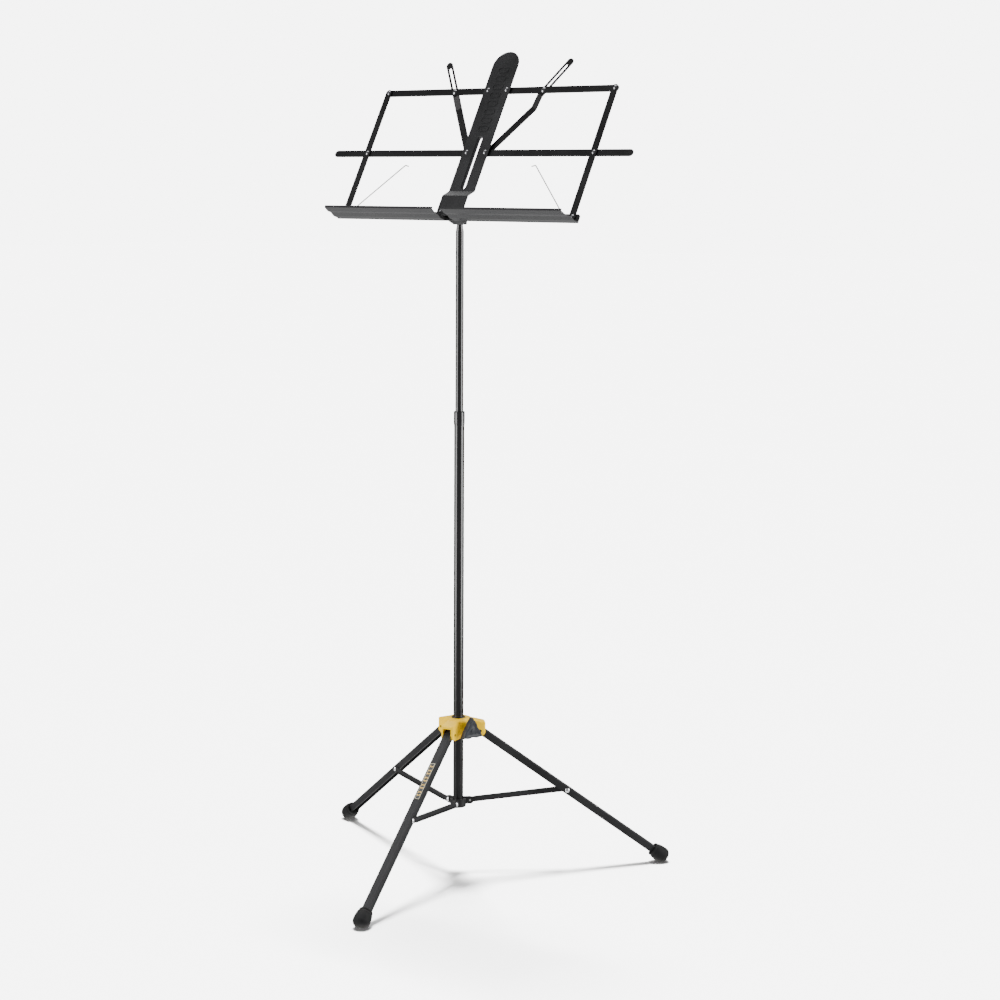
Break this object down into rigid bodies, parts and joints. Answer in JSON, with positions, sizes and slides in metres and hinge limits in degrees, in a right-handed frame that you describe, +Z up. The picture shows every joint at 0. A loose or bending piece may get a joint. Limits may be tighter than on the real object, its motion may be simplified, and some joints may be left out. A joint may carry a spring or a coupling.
{
  "type": "folding music stand",
  "caption": "Folding music stand: splayed legs with braces on a sliding hub, telescoping pole, tilting desk of pivoting bars, two-part tray and page wires.",
  "frame": {"origin": "on the pole's axis at floor level, midway between the feet", "axes": "+Z up along the pole, +X along the open desk to the right of someone facing the music, +Y away from that person, behind the desk"},
  "size_m": [0.6917, 0.6388, 1.4357],
  "materials": {
    "tube_black": "glossy black powder coat",
    "black_plastic": "satin moulded plastic",
    "yellow_hub": "warm yellow, semi-gloss",
    "knob_plastic": "dark slate, satin",
    "bright_steel": "plated, bright",
    "dark_steel": "blackened, dull",
    "frame_paint": "charcoal, fine texture, satin",
    "bar_paint": "charcoal, satin",
    "foot_rubber": "matt black",
    "wire_steel": "bright plated wire",
    "spacer_black": "black nylon",
    "sticker": "printed film, dark with a pale border"
  },
  "bodies": {
    "base": {"lower_tube": "tube_black", "friction_bush": "black_plastic", "bottom_bracket": "black_plastic", "bracket_pin": "bright_steel", "brace_pins": "bright_steel"},
    "hub": {"hub": "yellow_hub", "hub_bush": "black_plastic", "clamp_pad": "black_plastic", "leg_pins": "dark_steel"},
    "knob": {"clamp_knob": "knob_plastic", "knob_stud": "bright_steel"},
    "leg_front": {"leg_front": "frame_paint", "foot_front": "foot_rubber", "leg_rivet_front": "bright_steel", "leg_label": "sticker"},
    "brace_front": {"brace_front": "frame_paint", "brace_rivet_front": "bright_steel"},
    "leg_right": {"leg_right": "frame_paint", "foot_right": "foot_rubber", "leg_rivet_right": "bright_steel"},
    "brace_right": {"brace_right": "frame_paint", "brace_rivet_right": "bright_steel"},
    "leg_left": {"leg_left": "frame_paint", "foot_left": "foot_rubber", "leg_rivet_left": "bright_steel"},
    "brace_left": {"brace_left": "frame_paint", "brace_rivet_left": "bright_steel"},
    "glide": {"upper_tube_glide": "black_plastic"},
    "upper_pole": {"upper_tube": "tube_black", "tilt_yoke": "frame_paint"},
    "desk": {"tilt_bracket": "frame_paint", "tilt_bolt": "bright_steel", "tilt_nut": "bright_steel", "tilt_washers": "spacer_black", "centre_plate": "frame_paint", "plate_rivets": "bright_steel", "plate_spacers": "spacer_black", "tray_spacers": "spacer_black"},
    "top_bar_right": {"top_bar_right": "bar_paint", "arm_stud_right": "bright_steel"},
    "mid_bar_right": {"mid_bar_right": "bar_paint"},
    "side_bar_right": {"side_bar_right": "bar_paint", "side_rivets_right": "bright_steel"},
    "tray_right": {"tray_right": "frame_paint", "wire_post_right": "bright_steel"},
    "support_arm_right": {"support_arm_right": "bar_paint"},
    "arm_pin_right": {"arm_pin_right": "bright_steel"},
    "page_wire_right": {"page_wire_right": "wire_steel"},
    "top_bar_left": {"top_bar_left": "bar_paint", "arm_stud_left": "bright_steel"},
    "mid_bar_left": {"mid_bar_left": "bar_paint"},
    "side_bar_left": {"side_bar_left": "bar_paint", "side_rivets_left": "bright_steel"},
    "tray_left": {"tray_left": "frame_paint", "wire_post_left": "bright_steel"},
    "support_arm_left": {"support_arm_left": "bar_paint"},
    "arm_pin_left": {"arm_pin_left": "bright_steel"},
    "page_wire_left": {"page_wire_left": "wire_steel"}
  },
  "joints": [
    {"name": "hub_slide", "type": "slide", "parent": "base", "child": "hub", "axis": [0, 0, 1], "range_m": [0, 0.23742]},
    {"name": "knob_turn", "type": "hinge", "parent": "hub", "child": "knob", "pos_m": [0.03637, -0.01101, 0.2565], "axis": [0.9571, -0.2897, 0], "range_deg": [0, 540]},
    {"name": "leg_fold_front", "type": "hinge", "parent": "hub", "child": "leg_front", "pos_m": [0.00867, -0.0371, 0.2497], "axis": [0.9737, 0.2277, 0], "range_deg": [0, 54.5]},
    {"name": "brace_fold_front", "type": "hinge", "parent": "base", "child": "brace_front", "pos_m": [0.00485, -0.02074, 0.1201], "axis": [-0.9737, -0.2277, 0], "range_deg": [0, 79.36]},
    {"name": "leg_fold_right", "type": "hinge", "parent": "hub", "child": "leg_right", "pos_m": [0.02779, 0.02606, 0.2497], "axis": [-0.684, 0.7294, 0], "range_deg": [0, 54.5]},
    {"name": "brace_fold_right", "type": "hinge", "parent": "base", "child": "brace_right", "pos_m": [0.01554, 0.01457, 0.1201], "axis": [0.684, -0.7294, 0], "range_deg": [0, 79.36]},
    {"name": "leg_fold_left", "type": "hinge", "parent": "hub", "child": "leg_left", "pos_m": [-0.03647, 0.01104, 0.2497], "axis": [-0.2897, -0.9571, 0], "range_deg": [0, 54.5]},
    {"name": "brace_fold_left", "type": "hinge", "parent": "base", "child": "brace_left", "pos_m": [-0.02039, 0.00617, 0.1201], "axis": [0.2897, 0.9571, 0], "range_deg": [0, 79.36]},
    {"name": "height_slide", "type": "slide", "parent": "base", "child": "glide", "axis": [0, 0, 1], "range_m": [-0.3, 0.2]},
    {"name": "pole_swivel", "type": "hinge", "parent": "glide", "child": "upper_pole", "pos_m": [0, 0, 0.5], "axis": [0, 0, 1], "continuous": true},
    {"name": "desk_tilt", "type": "hinge", "parent": "upper_pole", "child": "desk", "pos_m": [0, 0, 1.152], "axis": [-1, 0, 0], "range_deg": [-24, 50]},
    {"name": "fold_right", "type": "hinge", "parent": "desk", "child": "mid_bar_right", "pos_m": [0.02, 0.04196, 1.26173], "axis": [0, -0.8726, 0.4885], "range_deg": [0, 78]},
    {"name": "top_bar_fold_right", "type": "hinge", "parent": "desk", "child": "top_bar_right", "pos_m": [0.02, 0.1022, 1.36933], "axis": [0, -0.8726, 0.4885], "range_deg": [0, 78.5]},
    {"name": "tray_fold_right", "type": "hinge", "parent": "desk", "child": "tray_right", "pos_m": [0.02, -0.01731, 1.15585], "axis": [0, -0.8726, 0.4885], "range_deg": [0, 78.5]},
    {"name": "side_bar_fold_right", "type": "hinge", "parent": "mid_bar_right", "child": "side_bar_right", "pos_m": [0.2473, 0.04196, 1.26173], "axis": [0, -0.8726, 0.4885], "range_deg": [-78.5, 0]},
    {"name": "arm_fold_right", "type": "hinge", "parent": "desk", "child": "support_arm_right", "pos_m": [0.02, 0.04196, 1.26173], "axis": [0, -0.8726, 0.4885], "range_deg": [0, 27.9]},
    {"name": "arm_pin_slide_right", "type": "slide", "parent": "support_arm_right", "child": "arm_pin_right", "axis": [0.5302, 0.4142, 0.7399], "range_m": [0, 0.05444]},
    {"name": "wire_right", "type": "hinge", "parent": "tray_right", "child": "page_wire_right", "pos_m": [0.2285, -0.02101, 1.1562], "axis": [0, -0.8726, 0.4885], "range_deg": [-80, 42]},
    {"name": "fold_left", "type": "hinge", "parent": "desk", "child": "mid_bar_left", "pos_m": [-0.02, 0.04196, 1.26173], "axis": [0, 0.8726, -0.4885], "range_deg": [0, 78]},
    {"name": "top_bar_fold_left", "type": "hinge", "parent": "desk", "child": "top_bar_left", "pos_m": [-0.02, 0.1022, 1.36933], "axis": [0, 0.8726, -0.4885], "range_deg": [0, 78.5]},
    {"name": "tray_fold_left", "type": "hinge", "parent": "desk", "child": "tray_left", "pos_m": [-0.02, -0.01731, 1.15585], "axis": [0, 0.8726, -0.4885], "range_deg": [0, 78.5]},
    {"name": "side_bar_fold_left", "type": "hinge", "parent": "mid_bar_left", "child": "side_bar_left", "pos_m": [-0.2473, 0.04196, 1.26173], "axis": [0, 0.8726, -0.4885], "range_deg": [-78.5, 0]},
    {"name": "arm_fold_left", "type": "hinge", "parent": "desk", "child": "support_arm_left", "pos_m": [-0.02, 0.04196, 1.26173], "axis": [0, 0.8726, -0.4885], "range_deg": [0, 27.9]},
    {"name": "arm_pin_slide_left", "type": "slide", "parent": "support_arm_left", "child": "arm_pin_left", "axis": [-0.5302, 0.4142, 0.7399], "range_m": [0, 0.05444]},
    {"name": "wire_left", "type": "hinge", "parent": "tray_left", "child": "page_wire_left", "pos_m": [-0.2285, -0.02101, 1.1562], "axis": [0, 0.8726, -0.4885], "range_deg": [-80, 42]}
  ],
  "couplings": [
    {"joint": "leg_fold_front", "follows": "hub_slide", "rad_per_m": 3.984},
    {"joint": "brace_fold_front", "follows": "hub_slide", "rad_per_m": 5.8118},
    {"joint": "leg_fold_right", "follows": "hub_slide", "rad_per_m": 3.984},
    {"joint": "brace_fold_right", "follows": "hub_slide", "rad_per_m": 5.8118},
    {"joint": "leg_fold_left", "follows": "hub_slide", "rad_per_m": 3.984},
    {"joint": "brace_fold_left", "follows": "hub_slide", "rad_per_m": 5.8118},
    {"joint": "top_bar_fold_right", "follows": "fold_right", "ratio": 1},
    {"joint": "tray_fold_right", "follows": "fold_right", "ratio": 1},
    {"joint": "side_bar_fold_right", "follows": "fold_right", "ratio": -1},
    {"joint": "arm_fold_right", "follows": "fold_right", "ratio": 0.35133},
    {"joint": "arm_pin_slide_right", "follows": "fold_right", "m_per_rad": 0.039623},
    {"joint": "top_bar_fold_left", "follows": "fold_left", "ratio": 1},
    {"joint": "tray_fold_left", "follows": "fold_left", "ratio": 1},
    {"joint": "side_bar_fold_left", "follows": "fold_left", "ratio": -1},
    {"joint": "arm_fold_left", "follows": "fold_left", "ratio": 0.35133},
    {"joint": "arm_pin_slide_left", "follows": "fold_left", "m_per_rad": 0.039623}
  ]
}
